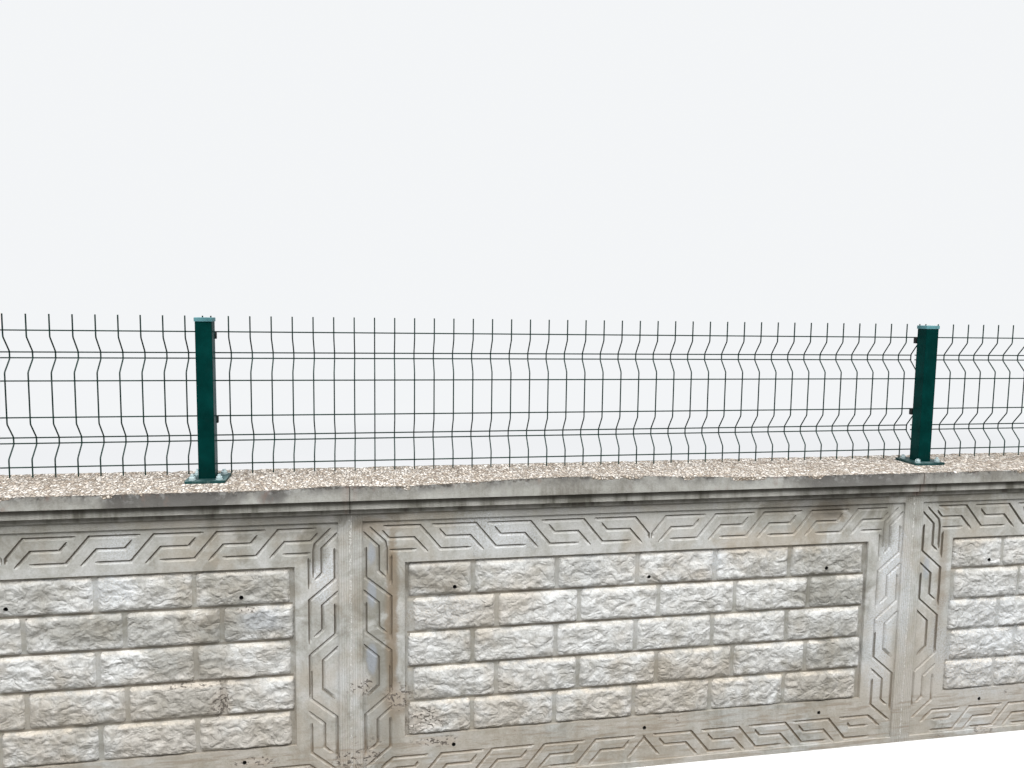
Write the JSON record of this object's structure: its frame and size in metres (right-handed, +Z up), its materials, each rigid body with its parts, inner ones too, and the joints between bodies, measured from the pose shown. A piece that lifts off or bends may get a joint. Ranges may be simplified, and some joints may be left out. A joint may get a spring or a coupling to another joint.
{
  "type": "panel fence on a cast ornamental wall",
  "caption": "Folded wire mesh fence panels between square tube posts, bolted along the coping of a low cast wall with a framed block pattern.",
  "frame": {"origin": "middle of the wall's length and depth, on the ground", "axes": "+X along the fence, +Z up, the panels' folds point to +Y"},
  "size_m": [9.9, 0.32, 1.537],
  "materials": {
    "cast_wall": "cast concrete, stained and weathered",
    "coping": "cast concrete with a pebbly top",
    "green_plate": "powder coated steel plate",
    "green_post": "powder coated steel tube",
    "green_cap": "moulded plastic cap",
    "green_wire": "coated welded wire",
    "black_clip": "moulded plastic clamp"
  },
  "bodies": {
    "root": {"wall_bay_1": "cast_wall", "wall_bay_2": "cast_wall", "wall_bay_3": "cast_wall", "wall_bay_4": "cast_wall", "wall_bay_5": "cast_wall", "coping_1": "coping", "coping_2": "coping", "coping_3": "coping", "coping_4": "coping", "coping_5": "coping", "base_plate_1": "green_plate", "base_plate_2": "green_plate", "base_plate_3": "green_plate", "base_plate_4": "green_plate", "post_1": "green_post", "post_2": "green_post", "post_3": "green_post", "post_4": "green_post", "post_cap_1": "green_cap", "post_cap_2": "green_cap", "post_cap_3": "green_cap", "post_cap_4": "green_cap", "mesh_panel_1": "green_wire", "mesh_panel_2": "green_wire", "mesh_panel_3": "green_wire", "panel_clips_1": "black_clip", "panel_clips_2": "black_clip", "panel_clips_3": "black_clip", "panel_clips_4": "black_clip"}
  },
  "joints": []
}
